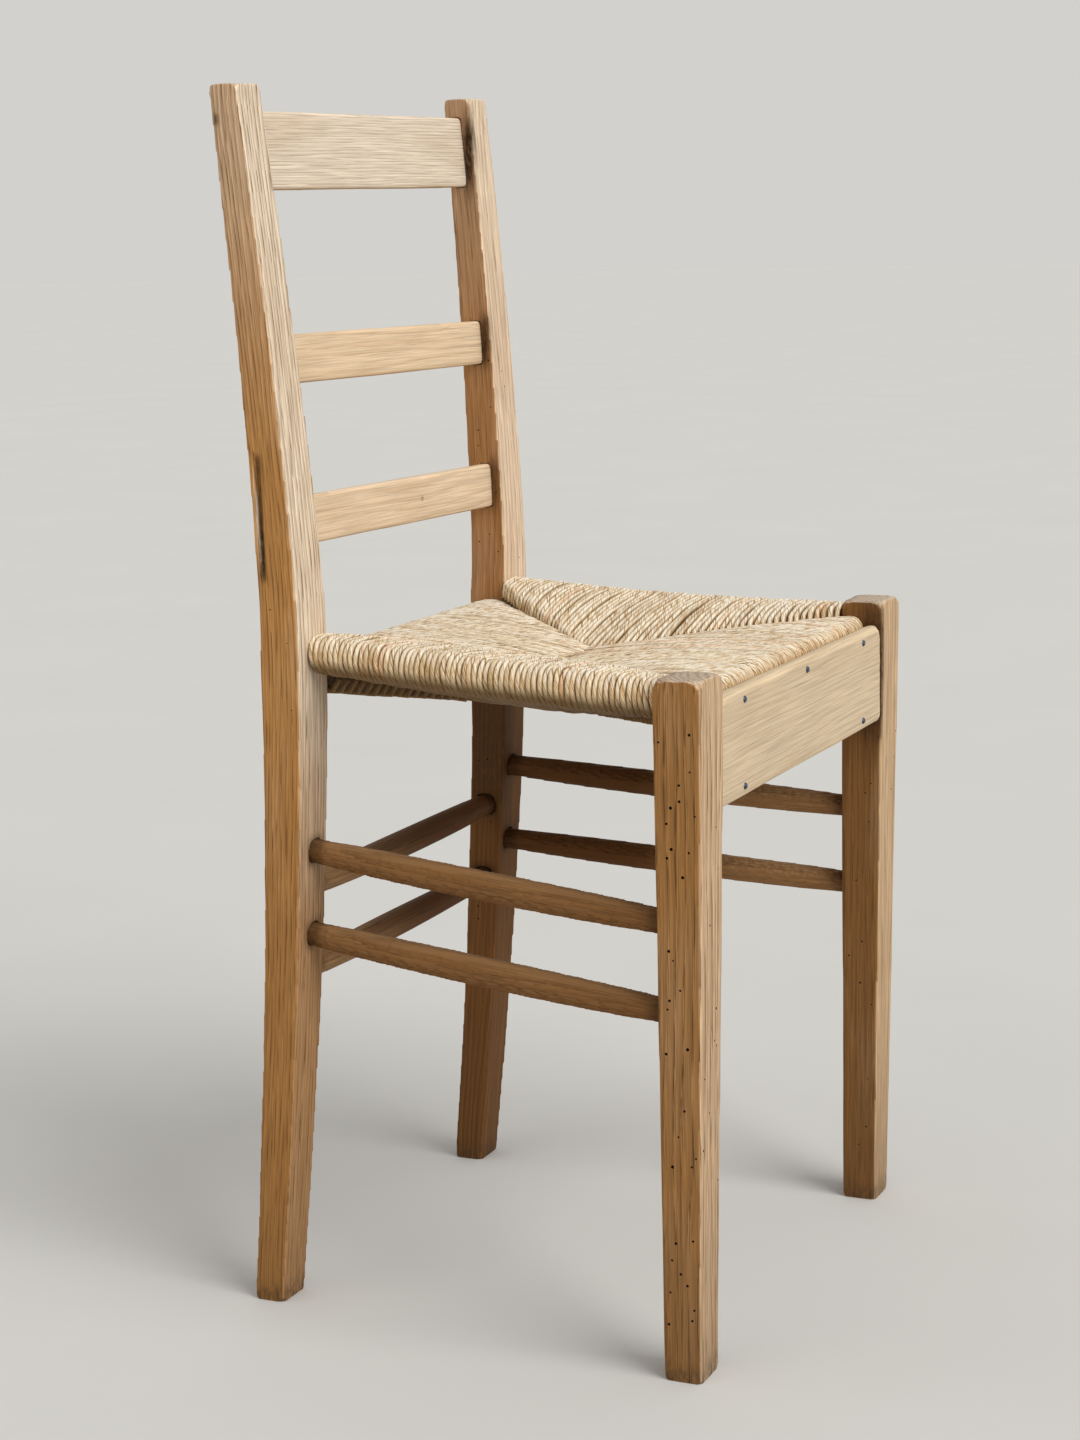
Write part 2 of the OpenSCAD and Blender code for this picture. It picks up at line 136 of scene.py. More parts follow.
def make_floor(colour):
    """Wide round floor with a very faint mottle."""
    bm = bmesh.new()
    bmesh.ops.create_circle(bm, cap_ends=True, segments=96, radius=FLOOR_RADIUS)
    floor = piece_from(bm, "floor")
    material, tree, shader = new_material("floor_paint")
    texture = add(tree, "ShaderNodeTexNoise", {"Vector": object_coords(tree), "Scale": 3, "Detail": 4})
    tone = ramp(tree, texture.outputs["Fac"], [(0.3, [c * 0.97 for c in colour]), (0.7, colour)])
    tree.links.new(tone, shader.inputs["Base Color"])
    shader.inputs["Roughness"].default_value = 0.85
    shader.inputs["Specular IOR Level"].default_value = 0.15
    floor.data.materials.append(material)


# ---------------------------------------------------------------- node helpers

def add(tree, kind, inputs=None, **settings):
    """Adds a node. Each input is another node's socket, to be linked, or a plain value."""
    made = tree.nodes.new(kind)
    for name, value in settings.items():
        setattr(made, name, value)
    for socket, value in (inputs or {}).items():
        if isinstance(value, bpy.types.NodeSocket):
            tree.links.new(value, made.inputs[socket])
        else:
            made.inputs[socket].default_value = value
    return made


def calc(tree, operation, a, b=0.0, c=0.0, clamp=False):
    made = add(tree, "ShaderNodeMath", {0: a, 1: b, 2: c}, operation=operation, use_clamp=clamp)
    return made.outputs[0]


def rgba(colour):
    return colour if isinstance(colour, bpy.types.NodeSocket) else (*colour[:3], 1.0)


def mix(tree, factor, a, b, blend="MIX"):
    made = add(tree, "ShaderNodeMix", {0: factor, 6: rgba(a), 7: rgba(b)},
               data_type="RGBA", blend_type=blend)
    return made.outputs[2]


def ramp(tree, value, stops):
    made = add(tree, "ShaderNodeValToRGB", {"Fac": value})
    points = made.color_ramp.elements
    while len(points) < len(stops):
        points.new(0.5)
    for point, (place, colour) in zip(points, stops):
        point.position = place
        point.color = rgba(colour if isinstance(colour, (tuple, list)) else (colour,) * 3)
    return made.outputs["Color"]


def step(tree, value, low, high):
    """Rises smoothly from 0 at low to 1 at high."""
    made = add(tree, "ShaderNodeMapRange", {"Value": value, "From Min": low, "From Max": high},
               interpolation_type="SMOOTHSTEP")
    return made.outputs["Result"]


def object_coords(tree):
    return add(tree, "ShaderNodeTexCoord").outputs["Object"]


def attribute(tree, name, socket="Fac"):
    return add(tree, "ShaderNodeAttribute", attribute_name=name).outputs[socket]


def stretched(tree, vector, scale, place=(0, 0, 0), turn=0.0):
    made = add(tree, "ShaderNodeMapping",
               {"Vector": vector, "Scale": scale, "Location": place, "Rotation": (0, 0, turn)})
    return made.outputs["Vector"]


def texture_noise(tree, vector, scale=1.0, detail=3.0, rough=0.55, bend=0.0):
    made = add(tree, "ShaderNodeTexNoise", {"Vector": vector, "Scale": scale, "Detail": detail,
                                            "Roughness": rough, "Distortion": bend})
    return made.outputs["Fac"]


def new_material(name):
    material = bpy.data.materials.new(name)
    material.use_nodes = True
    tree = material.node_tree
    return material, tree, tree.nodes["Principled BSDF"]


def bump(tree, shader, height, strength, distance):
    made = add(tree, "ShaderNodeBump", {"Height": height, "Strength": strength, "Distance": distance})
    tree.links.new(made.outputs["Normal"], shader.inputs["Normal"])


# ---------------------------------------------------------------- materials

SUN_GREY = (0.90, 0.78, 0.61)
TOP_GREY = (0.66, 0.56, 0.46)
# The dark of old dirt at joints, also used as painted shade
OLD_DIRT_AND_SHADE = (0.035, 0.018, 0.008)
FLOOR_DIRT = (0.05, 0.035, 0.02)
RUBBED = (1.4, 1.38, 1.34)


def wood_material(name, pale, warm, dark, ring=3.6 * MM, ring_turn=0.6, ring_depth=0.5, pores=0.6,
                  seed=0.0, light_and_bleach=1.0, darker_below=0.0, foot=(0.28, 0.15, 0.06), foot_span=(0.0, 0.5),
                  sunned=0.22, shaded=None):
    """Bare worn wood. 'grain' runs along the fibre in its third component.

    pale is the colour of fronts and tops, warm that of the sides, dark that of the late wood and
    pores; fronts and tops are paler by painted light, partly also sun-bleaching. A piece given a
    strength for darkening below is a post: it greys upwards and takes the foot colour below
    foot_span, which on the left back post is painted shade under the seat. shaded is a painted
    shade colour for the part towards the back and the left side.
    """
    material, tree, shader = new_material(name)
    grain = attribute(tree, "grain", "Vector")
    shift = (seed, seed * 1.7, seed * 0.3)

    # Painted light: fronts and tops paler, sides and backs warmer and darker, partly also sun-bleaching
    normal = add(tree, "ShaderNodeNewGeometry").outputs["Normal"]
    facing = add(tree, "ShaderNodeSeparateXYZ", {0: normal})
    front = calc(tree, "MULTIPLY", facing.outputs["Y"], -0.95)
    top = calc(tree, "MULTIPLY", calc(tree, "MAXIMUM", facing.outputs["Z"], 0), 0.7)
    lit_and_bleached = step(tree, calc(tree, "ADD", front, top), 0.25, 0.8)
    lit_and_bleached = calc(tree, "MULTIPLY", lit_and_bleached, light_and_bleach)

    # Slow blotches along the piece
    blotch = texture_noise(tree, stretched(tree, grain, (28, 28, 7), shift), detail=2)
    lit_and_bleached = calc(tree, "ADD", lit_and_bleached, calc(tree, "MULTIPLY_ADD", blotch, 0.8, -0.4), clamp=True)
    base = mix(tree, lit_and_bleached, warm, pale)
    place = add(tree, "ShaderNodeSeparateXYZ", {0: object_coords(tree)})
    height = place.outputs["Z"]
    # Painted shade: the part towards the back and the left side takes the shaded colour
    if shaded:
        behind = step(tree, place.outputs["Y"], -0.07, 0.03)
        behind = calc(tree, "MULTIPLY", behind, step(tree, place.outputs["X"], -0.15, 0.05))
        base = mix(tree, behind, base, shaded)
    if darker_below:
        upper = calc(tree, "MULTIPLY", step(tree, height, 0.6, 0.88), sunned)
        base = mix(tree, upper, base, SUN_GREY)
        capped = calc(tree, "MULTIPLY", step(tree, facing.outputs["Z"], 0.3, 0.8), 0.75)
        base = mix(tree, capped, base, TOP_GREY)
        # Darker below foot_span; on the left back post this is painted shade under the seat
        low = calc(tree, "SUBTRACT", 1.0, step(tree, height, *foot_span))
        base = mix(tree, calc(tree, "MULTIPLY", low, darker_below), base, foot)
        # Darker towards the floor
        darker_near_floor = ramp(tree, height, [(0.0, 0.72), (0.16, 1.0)])
        base = mix(tree, 1.0, base, darker_near_floor, "MULTIPLY")

    # Growth rings: bands across the fibre, bent by a slow wander
    wander = texture_noise(tree, stretched(tree, grain, (45, 45, 3.5), shift), detail=2)
    turned = stretched(tree, grain, (1, 1, 1), shift, turn=ring_turn)
    across = add(tree, "ShaderNodeSeparateXYZ", {0: turned}).outputs["X"]
    across = calc(tree, "MULTIPLY_ADD", across, 1 / ring, calc(tree, "MULTIPLY", wander, 4.0))
    band = calc(tree, "FRACT", across)
    late = calc(tree, "POWER", band, 2.5)

    # Open pores crowd at the start of each ring and break into short dashes
    dash = texture_noise(tree, stretched(tree, grain, (1300, 1300, 26), shift), detail=2)
    early = calc(tree, "POWER", calc(tree, "SUBTRACT", 1.0, band), 3.0)
    crowded = calc(tree, "MULTIPLY_ADD", early, 0.95, 0.1)
    pore = calc(tree, "MULTIPLY", step(tree, dash, 0.44, 0.6), crowded)
    fibre = texture_noise(tree, stretched(tree, grain, (1000, 1000, 16), shift), detail=3)

    colour = mix(tree, calc(tree, "MULTIPLY", late, ring_depth), base, dark)
    colour = mix(tree, calc(tree, "MULTIPLY", pore, pores), colour, [c * 0.5 for c in dark])
    shade = ramp(tree, fibre, [(0.3, 0.76), (0.62, 1.06)])
    colour = mix(tree, 1.0, colour, shade, "MULTIPLY")

    # Rubbed edges are paler, joints and feet hold old dirt; the same dark is also
    # painted shade in the long split and under the seat
    edge = attribute(tree, "edge")
    rubbed = calc(tree, "MULTIPLY", step(tree, edge, 0.45, 1.0), 0.5)
    colour = mix(tree, rubbed, colour, RUBBED, "MULTIPLY")
    speckle = texture_noise(tree, stretched(tree, grain, (420, 420, 160), shift), detail=4)
    dirt_and_shade = attribute(tree, "dirt_and_shade")
    dirt_and_shade = calc(tree, "MULTIPLY", dirt_and_shade, calc(tree, "MULTIPLY_ADD", speckle, 1.0, 0.45), clamp=True)
    colour = mix(tree, dirt_and_shade, colour, OLD_DIRT_AND_SHADE)
    if darker_below:
        sole = calc(tree, "SUBTRACT", 1.0, step(tree, height, 0.002, 0.02))
        sole = calc(tree, "MULTIPLY", sole, step(tree, speckle, 0.3, 0.7))
        colour = mix(tree, calc(tree, "MULTIPLY", sole, 0.75), colour, FLOOR_DIRT)
    tree.links.new(colour, shader.inputs["Base Color"])

    rough = calc(tree, "MULTIPLY_ADD", fibre, 0.25, 0.52)
    tree.links.new(rough, shader.inputs["Roughness"])
    shader.inputs["Specular IOR Level"].default_value = 0.1
    relief = calc(tree, "ADD", calc(tree, "MULTIPLY", fibre, 0.5), calc(tree, "MULTIPLY", pore, -0.9))
    relief = calc(tree, "ADD", relief, calc(tree, "MULTIPLY", late, 0.35))
    bump(tree, shader, relief, 0.55, 0.35 * MM)
    return material


def rush_material(name, straw, gold, brown):
    """Twisted rush. 'cord' holds the cosine and sine round the cord and the length along it."""
    material, tree, shader = new_material(name)
    cord = attribute(tree, "cord", "Vector")
    tone = attribute(tree, "tone")
    along = add(tree, "ShaderNodeSeparateXYZ", {0: cord}).outputs["Z"]
    # Untwists the cord, so that the leaves run straight in the new coordinates
    turned = add(tree, "ShaderNodeVectorRotate",
                 {"Vector": cord, "Angle": calc(tree, "MULTIPLY", along, 2 * math.pi / CORD_TWIST)},
                 rotation_type="Z_AXIS").outputs["Vector"]
    lift = add(tree, "ShaderNodeCombineXYZ", {"Z": calc(tree, "MULTIPLY", tone, 7.0)}).outputs["Vector"]
    strand = add(tree, "ShaderNodeVectorMath", {0: turned, 1: lift}, operation="ADD").outputs["Vector"]
    leaf = texture_noise(tree, stretched(tree, strand, (2.2, 2.2, 12)), detail=2)
    fibre = texture_noise(tree, stretched(tree, strand, (7, 7, 40)), detail=3)
    blotch = texture_noise(tree, stretched(tree, strand, (0.3, 0.3, 25)), detail=2)

    bright = [c * 1.12 for c in straw]
    colour = ramp(tree, leaf, [(0.33, brown), (0.42, gold), (0.5, straw), (0.68, bright)])
    colour = mix(tree, calc(tree, "MULTIPLY", step(tree, blotch, 0.5, 0.72), 0.5), colour, gold)
    # Painted light: upward faces paler and cooler, side and downward faces warmer and darker, partly
    # also sun-fading
    normal = add(tree, "ShaderNodeNewGeometry").outputs["Normal"]
    facing = add(tree, "ShaderNodeSeparateXYZ", {0: normal}).outputs["Z"]
    light_and_bleach = ramp(tree, facing, [(0.25, (0.90, 0.79, 0.65)), (0.9, (1.07, 1.09, 1.16))])
    colour = mix(tree, 1.0, colour, light_and_bleach, "MULTIPLY")
    tint = ramp(tree, tone, [(0.0, (0.8, 0.72, 0.6)), (0.25, (1, 1, 1)), (0.9, (1.06, 1.05, 1.0)),
                             (0.99, (1.0, 0.86, 0.78))])
    colour = mix(tree, 1.0, colour, tint, "MULTIPLY")
    colour = mix(tree, 1.0, colour, ramp(tree, fibre, [(0.3, 0.74), (0.6, 1.0)]), "MULTIPLY")
    # Painted shade between the cords and under the seat
    gap = calc(tree, "MULTIPLY", step(tree, attribute(tree, "gap"), 0.6, 1.05), 0.62)
    colour = mix(tree, gap, colour, [c * 0.35 for c in brown])
    down = calc(tree, "MULTIPLY", facing, -1)
    under = calc(tree, "MAXIMUM", step(tree, down, -0.1, 0.6), attribute(tree, "under"))
    under = calc(tree, "MULTIPLY", under, 0.88)
    colour = mix(tree, under, colour, [c * 0.5 for c in brown])
    tree.links.new(colour, shader.inputs["Base Color"])
    shader.inputs["Roughness"].default_value = 0.58
    shader.inputs["Specular IOR Level"].default_value = 0.12
    relief = calc(tree, "MULTIPLY_ADD", fibre, 0.4, leaf)
    bump(tree, shader, relief, 0.9, 0.9 * MM)
    return material


def plain_material(name, low, high, scale, rough, metal=0.0, depth=0.2 * MM, strength=0.4):
    """Mottled surface between two colours, with a fine relief."""
    material, tree, shader = new_material(name)
    grain = texture_noise(tree, object_coords(tree), scale, detail=5, rough=0.6)
    tree.links.new(ramp(tree, grain, [(0.3, low), (0.7, high)]), shader.inputs["Base Color"])
    shader.inputs["Roughness"].default_value = rough
    shader.inputs["Metallic"].default_value = metal
    bump(tree, shader, grain, strength, depth)
    return material


# ---------------------------------------------------------------- mesh helpers

def piece_from(bm, name):
    mesh = bpy.data.meshes.new(name)
    bm.to_mesh(mesh)
    bm.free()
    return piece_of(mesh, name)


def piece_of(mesh, name):
    piece = bpy.data.objects.new(name, mesh)
    scene.collection.objects.link(piece)
    return piece


def baked(piece):
    """Applies every modifier and curve setting of a piece."""
    graph = bpy.context.evaluated_depsgraph_get()
    mesh = bpy.data.meshes.new_from_object(piece.evaluated_get(graph))
    name, old = piece.name, piece.data
    bpy.data.objects.remove(piece)
    if isinstance(old, bpy.types.Mesh):
        bpy.data.meshes.remove(old)
    return piece_of(mesh, name)


def merged_copy(node, name):
    """Copy of a CAD node with the vertices of neighbouring faces joined."""
    bm = bmesh.new()
    bm.from_mesh(nodes[node].data)
    bmesh.ops.remove_doubles(bm, verts=bm.verts, dist=0.01 * MM)
    return piece_from(bm, name)


def tree_of(node):
    bm = bmesh.new()
    bm.from_mesh(nodes[node].data)
    found = BVHTree.FromBMesh(bm)
    bm.free()
    return found


def coords(mesh):
    found = np.empty(len(mesh.vertices) * 3, np.float32)
    mesh.vertices.foreach_get("co", found)
    return found.reshape(-1, 3).astype(float)


def normals(mesh):
    found = np.empty(len(mesh.vertices) * 3, np.float32)
    mesh.vertex_normals.foreach_get("vector", found)
    return found.reshape(-1, 3).astype(float)


def set_coords(mesh, points):
    mesh.vertices.foreach_set("co", np.asarray(points, np.float32).ravel())
    mesh.update()


def edge_pairs(mesh):
    found = np.empty(len(mesh.edges) * 2, np.int32)
    mesh.edges.foreach_get("vertices", found)
    return found.reshape(-1, 2)


def spread(values, pairs, rounds):
    """Averages a value at each vertex with its neighbours, a few times."""
    shape = (len(values),) + (1,) * (values.ndim - 1)
    count = np.bincount(pairs.ravel(), minlength=len(values)).reshape(shape)
    for _ in range(rounds):
        total = np.zeros_like(values)
        np.add.at(total, pairs[:, 0], values[pairs[:, 1]])
        np.add.at(total, pairs[:, 1], values[pairs[:, 0]])
        values = (values + total / np.maximum(count, 1)) / 2
    return values


def combed(points, pairs, axis, rounds):
    """Evens out the steps left by remeshing, along the piece only, so its edges stay crisp."""
    along = points[pairs[:, 1]] - points[pairs[:, 0]]
    weight = (abs(along[:, axis]) / (np.linalg.norm(along, axis=1) + 1e-12)) ** 6
    here, there = np.concatenate([pairs, pairs[:, ::-1]]).T
    weight = np.concatenate([weight, weight])
    total = np.bincount(here, weight, len(points)) + 1e-3
    points = points.copy()
    for _ in range(rounds):
        for k in range(3):
            if k != axis:
                pull = np.bincount(here, weight * points[there, k], len(points)) + 1e-3 * points[:, k]
                points[:, k] = (points[:, k] + pull / total) / 2
    return points


def ripple(points, size, seed):
    """Smooth noise from -1 to 1, with features of the given size along each axis."""
    scaled = points / np.array(size) + seed
    return np.array([noise.noise(p) for p in scaled.tolist()])


def store(mesh, name, values):
    kind = "FLOAT_VECTOR" if values.ndim == 2 else "FLOAT"
    layer = mesh.attributes.new(name, kind, "POINT")
    key = "vector" if values.ndim == 2 else "value"
    layer.data.foreach_set(key, np.asarray(values, np.float32).ravel())


def smooth_shaded(mesh):
    mesh.polygons.foreach_set("use_smooth", [True] * len(mesh.polygons))


def rod_axis(node):
    """The two ends of a round node's axis, the first with the lower x + y."""
    points = coords(nodes[node].data)
    middle = (points.min(0) + points.max(0)) / 2
    along = np.linalg.svd(points - points.mean(0), full_matrices=False)[2][0]
    reach = (points - middle) @ along
    ends = [Vector(middle + along * reach.min()), Vector(middle + along * reach.max())]
    return sorted(ends, key=lambda p: p.x + p.y)


def entries(node, tenon):
    """Where a rod's axis meets the faces of the two posts that hold its tenons."""
    a, b = rod_axis(node)
    inward = (b - a).normalized() * tenon
    return a + inward, b - inward


def hit(tree, start, towards):
    """First point that a ray from start meets."""
    return tree.ray_cast(Vector(start), (Vector(towards) - Vector(start)).normalized())[0]


# ---------------------------------------------------------------- wooden pieces

COMB_ROUNDS = 70
LONG_WAVE = (30 * MM, 130 * MM)  # across the piece and along it
SHORT_WAVE = (12 * MM, 45 * MM)
HOLE_FLOOR = 0.4  # radius of a hole's floor as a share of its mouth's width
HOLE_TRIES = 6
HOLE_MARGIN = 4 * MM
HOLE_GAP = 4.5  # least distance between two holes, in voxels
SPLIT_LOW, SPLIT_HIGH = 0.535, 0.63
SPLIT_PLACE = 9.5 * MM  # behind the middle of the post
SPLIT_WIDTH = 1.6 * MM
SPLIT_DEPTH = 4.5 * MM
SPLIT_Y = 0.151

def grain_coords(points, axis):
    """Offsets from the piece's own centre line, then the length along it."""
    others = [i for i in range(3) if i != axis]
    along = points[:, axis]
    low, high = along.min(), along.max()
    bins = max(4, int((high - low) / (12 * MM)))
    which = np.clip(((along - low) / (high - low) * bins).astype(int), 0, bins - 1)
    result = np.empty_like(points)
    for column, k in enumerate(others):
        least = np.full(bins, np.inf)
        most = np.full(bins, -np.inf)
        np.minimum.at(least, which, points[:, k])
        np.maximum.at(most, which, points[:, k])
        centre = np.convolve(np.pad((least + most) / 2, 2, "edge"), np.ones(5) / 5, "valid")
        places = low + (np.arange(bins) + 0.5) / bins * (high - low)
        result[:, column] = points[:, k] - np.interp(along, places, centre)
    result[:, 2] = along
    return result


def drilled(piece, spots, material):
    """Sinks a small tapering hole at each (vertex index, diameter, depth, lean) of the mesh."""
    mesh = piece.data
    bm = bmesh.new()
    bm.from_mesh(mesh)
    bm.verts.ensure_lookup_table()
    picked = [(bm.verts[index], *rest) for index, *rest in spots if len(bm.verts[index].link_faces) == 4]
    for vert, width, depth, lean in picked:
        rim = list({v for f in vert.link_faces for v in f.verts if v != vert})
        centre, normal = vert.co.copy(), vert.normal.copy()
        turn = normal.to_track_quat("Z", "Y").to_matrix()
        flat = [turn.transposed() @ (v.co - centre) for v in rim]
        angles, rim = zip(*sorted(((math.atan2(p.y, p.x), v) for p, v in zip(flat, rim)),
                                  key=lambda pair: pair[0]))
        bmesh.ops.delete(bm, geom=[vert], context="VERTS")
        loops = [rim]
        for radius, sink in ((width / 2, 0), (width * HOLE_FLOOR, depth)):
            middle = centre + (lean - normal) * sink
            loops.append([bm.verts.new(middle + turn @ Vector((math.cos(a), math.sin(a), 0)) * radius)
                          for a in angles])
        for inside, (outer, inner) in enumerate(zip(loops, loops[1:])):
            for i in range(len(rim)):
                face = bm.faces.new((outer[i - 1], outer[i], inner[i], inner[i - 1]))
                face.material_index = inside
        bm.faces.new(loops[2]).material_index = 1
        for i in range(len(rim)):
            bm.edges.get((loops[1][i - 1], loops[1][i])).smooth = False
    bmesh.ops.recalc_face_normals(bm, faces=bm.faces)
    bm.to_mesh(mesh)
    bm.free()
    mesh.materials.append(None)
    mesh.materials.append(material)


def worm_holes(piece, faces, count, seed, low=0.0, high=1.0, sizes=(1.1, 1.8)):
    """Scatters flight holes over the sides of a post that face the given ways."""
    rng = random.Random(seed)
    mesh = piece.data
    tree = BVHTree.FromPolygons([v.co for v in mesh.vertices], [p.vertices for p in mesh.polygons])
    points = coords(mesh)
    least, most = points.min(0), points.max(0)
    spots = []
    for _ in range(count * HOLE_TRIES):
        z = least[2] + (most[2] - least[2]) * rng.uniform(low, high)
        near = points[abs(points[:, 2] - z) < 6 * MM]
        inside = [rng.uniform(near[:, k].min() + HOLE_MARGIN, near[:, k].max() - HOLE_MARGIN)
                  for k in (0, 1)]
        direction = Vector(rng.choice(faces))
        start = Vector((*inside, z)) + direction * 0.1
        found, normal, index = tree.ray_cast(start, -direction)[:3]
        width, depth = rng.uniform(*sizes) * MM, rng.uniform(3, 6) * MM
        lean = Vector([rng.uniform(-0.3, 0.3) for _ in range(3)])
        if found and normal.dot(direction) > 0.8 and len(spots) < count:
            corners = [mesh.vertices[i] for i in mesh.polygons[index].vertices]
            nearest = min(corners, key=lambda v: (v.co - found).length)
            spots.append((found, nearest.index, width, depth, lean))
    return spots


def apart(spots, gap):
    """Keeps the spots that lie clear of every earlier one."""
    kept = []
    for spot in spots:
        if all((spot[0] - other[0]).length > gap for other in kept):
            kept.append(spot)
    return [spot[1:] for spot in kept]


def along_axis(size, axis):
    """A size across a piece and one along it, as three numbers."""
    across, along = size
    return [along if k == axis else across for k in range(3)]


def worn(node, name, axis, voxel=1.8 * MM, hew=0.35 * MM, wear=0.9 * MM, seed=0.0, reshape=None,
         smooth=2, holes=()):
    """Copy of a CAD piece with rounded, rubbed edges and the slight waves of hand work."""
    piece = merged_copy(node, name)
    remesh = piece.modifiers.new("even", "REMESH")
    remesh.mode = "VOXEL"
    remesh.voxel_size = voxel
    piece = baked(piece)
    mesh = piece.data
    pairs = edge_pairs(mesh)
    points = combed(spread(coords(mesh), pairs, smooth), pairs, axis, COMB_ROUNDS)
    set_coords(mesh, points)
    sharp = convexity(mesh, pairs)
    shift = hew * ripple(points, along_axis(LONG_WAVE, axis), seed)
    shift -= wear * sharp * (0.45 + 0.55 * ripple(points, along_axis(SHORT_WAVE, axis), seed + 5))
    points = points + normals(mesh) * shift[:, None]
    if reshape:
        points = reshape(points)
    set_coords(mesh, points)
    store(mesh, "edge", spread(convexity(mesh, pairs), pairs, 1))
    if holes:
        spots = [spot for args in holes for spot in worm_holes(piece, **args)]
        drilled(piece, apart(spots, HOLE_GAP * voxel), wood["hole"])
    return piece


def convexity(mesh, pairs):
    """How far each vertex stands out from its neighbours, 0 on a flat to 1 on an edge."""
    points, outward = coords(mesh), normals(mesh)
    mean = spread(points, pairs, 6)
    out = ((points - mean) * outward).sum(1)
    scale = np.percentile(out, 98) + 1e-9
    return np.clip(out / scale, 0, 1)


def finish_wood(piece, node, slot, material, axis, dark_marks=()):
    """Adds the attributes that the wood materials read, fixes the piece to the chair and hides its node.
    """
    mesh = piece.data
    points = coords(mesh)
    store(mesh, "grain", grain_coords(points, axis))
    dirt_and_shade = np.zeros(len(points))
    for centre, size, strength in dark_marks:
        offset = (points - np.array(centre)) / np.array(size)
        dirt_and_shade = np.maximum(dirt_and_shade, strength * np.exp(-(offset ** 4).sum(1)))
    store(mesh, "dirt_and_shade", dirt_and_shade)
    smooth_shaded(mesh)
    if mesh.materials:
        mesh.materials[0] = material
    else:
        mesh.materials.append(material)
    hand_in(piece, slot, node)


def hand_in(piece, slot, *replaced):
    """Fixes a finished piece to the chair and hides the nodes it replaces; slot is not used."""
    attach(piece, "root")
    if replaced:
        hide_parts(*replaced)


def split_edge(points):
    """Opens the long split near the back edge of the right back post's outer side."""
    offsets = grain_coords(points, Z)
    f = np.clip((points[:, 2] - SPLIT_LOW) / (SPLIT_HIGH - SPLIT_LOW), 0, 1)
    near = np.exp(-((offsets[:, 1] - SPLIT_PLACE) / SPLIT_WIDTH) ** 2) * (offsets[:, 0] < 0)
    points[:, 0] += SPLIT_DEPTH * near * np.sin(math.pi * f) ** 0.7
    return points


def rung_droop(node, axis):
    """Gives a stretcher a slight sag between its two posts."""
    low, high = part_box(node)

    def droop(points):
        f = share(points[:, axis], low[axis], high[axis])
        points[:, 2] -= RUNG_SAG * np.sin(math.pi * np.clip(f, 0, 1))
        return points
    return droop


# Dark marks are (centre, size, strength)

def split_marks():
    """Painted shade in the long split, and a knot near the top of the same post."""
    low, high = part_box("right_back_post")
    marks = [((low.x + 4 * MM, high.y - 14 * MM, 0.856), (9 * MM, 2.2 * MM, 4 * MM), 0.75)]
    # Painted shade along the split
    for i in range(1, 8):
        z = SPLIT_LOW + (SPLIT_HIGH - SPLIT_LOW) * i / 8
        marks.append(((low.x + 9 * MM, SPLIT_Y, z), (9 * MM, 2.6 * MM, 9 * MM), 0.95))
    return marks


def left_back_marks():
    """Old dirt where the boards of the back enter the post, and painted shade just under the seat."""
    marks = []
    for board, strength in zip(BOARDS, (1.0, 0.9, 0.7)):
        low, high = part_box(board)
        end = (high.x - SLAT_TENON, low.y - 2 * MM, (low.z + high.z) / 2)
        marks.append((end, (6 * MM, 5 * MM, (high.z - low.z) * 0.55), strength))
    # Painted shade of the seat: a dark band on the inner and front faces just under it
    low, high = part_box("left_back_post")
    place = (low.x, (low.y + high.y) / 2 - 10 * MM, 0.375)
    return marks + [(place, (20 * MM, 60 * MM, 75 * MM), 0.6)]


def left_front_marks():
    """The dark joint at the far end of the apron."""
    low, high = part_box("front_apron")
    place = (high.x, low.y + 4 * MM, (low.z + high.z) / 2)
    return [(place, (3.5 * MM, 14 * MM, 60 * MM), 0.9)]


def slat_knot():
    low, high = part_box("lower_slat")
    return [((0.03, low.y, (low.z + high.z) / 2), (2.2 * MM, 9 * MM, 1.6 * MM), 0.7)]


# ---------------------------------------------------------------- rush seat

def rail_run(rail, start_node, end_node):
    """Where a rail's axis meets the faces of its two posts, found just below their bores."""
    below = Vector((0, 0, 11 * MM))
    a, b = (end - below for end in rod_axis(rail))
    middle = (a + b) / 2
    return [hit(tree_of(post), middle, end) + below for post, end in ((start_node, a), (end_node, b))]


def arc_points(centre, radius, start, end, count):
    """Points on an arc in a field's own plane: outward distance and height."""
    angles = [math.radians(start + (end - start) * i / (count - 1)) for i in range(count)]
    return [(centre[0] + radius * math.cos(a), centre[1] + radius * math.sin(a)) for a in angles]


def round_roll(out, height):
    """The cord's way round a round rail, from top to bottom."""
    return arc_points((out, height), ROLL_R - CORD_R, 90, -90, 9)


def square_roll(out, height):
    """The cord's way round the flat front rail, from top to bottom."""
    half_t, half_h, corner = FRONT_ROLL
    side, up = half_t - corner, half_h - corner
    return (arc_points((out + side, height + up), corner - CORD_R, 100, 0, 5)
            + arc_points((out + side, height - up), corner - CORD_R, 0, -90, 5))


def steady(low, high):
    """Stands in for a random draw where a section is to be the average one."""
    return (low + high) / 2


